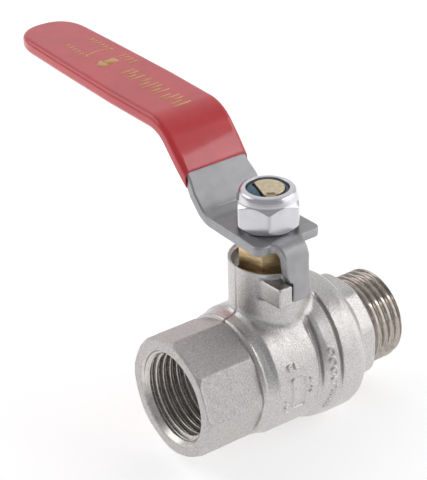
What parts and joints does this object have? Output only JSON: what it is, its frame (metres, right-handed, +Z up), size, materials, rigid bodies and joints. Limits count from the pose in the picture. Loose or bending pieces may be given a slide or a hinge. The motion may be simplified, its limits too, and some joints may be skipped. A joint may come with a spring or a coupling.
{
  "type": "ball valve",
  "caption": "Threaded shut-off ball valve, socket thread one end and male thread the other, with a bent steel quarter-turn lever in a dipped sleeve.",
  "frame": {"origin": "centre of the ball, where the pipe axis crosses the stem axis", "axes": "+X along the pipe axis towards the male end, +Z up the stem, lever along +Y when shut"},
  "size_m": [0.0576, 0.1052, 0.0678],
  "materials": {
    "nickel_plate": "brass forging, blasted and nickel plated, satin with fine grain",
    "ball_chrome": "polished and chrome plated",
    "ptfe": "white fluoropolymer, waxy",
    "brass_bare": "bare brass, machined, pale",
    "brass_turned": "bare brass with turning marks, slightly tarnished",
    "seal_rubber": "black, matt",
    "lever_steel": "stamped sheet steel, zinc plated, satin",
    "red_vinyl": null,
    "zinc_plate": "bright zinc plate",
    "blue_nylon": "dark blue, semi-matt"
  },
  "bodies": {
    "housing": {"valve_body": "nickel_plate", "end_connector": "nickel_plate", "joint_seal": "ptfe", "seat_ring_inlet": "ptfe", "seat_ring_outlet": "ptfe", "thrust_washer": "ptfe", "packing_ring_lower": "ptfe", "packing_ring_upper": "ptfe", "gland_nut": "brass_turned"},
    "lever_assembly": {"stem": "brass_bare", "stem_o_ring": "seal_rubber", "lever": "lever_steel", "grip_sleeve": "red_vinyl", "lock_nut": "zinc_plate", "lock_nut_insert": "blue_nylon"},
    "ball": {"ball": "ball_chrome"}
  },
  "joints": [
    {"name": "lever_turn", "type": "hinge", "parent": "housing", "child": "lever_assembly", "pos_m": [0, 0, 0], "axis": [0, 0, 1], "range_deg": [0, 90]},
    {"name": "ball_turn", "type": "hinge", "parent": "housing", "child": "ball", "pos_m": [0, 0, 0], "axis": [0, 0, 1], "range_deg": [0, 90]}
  ],
  "couplings": [
    {"joint": "ball_turn", "follows": "lever_turn", "ratio": 1}
  ]
}
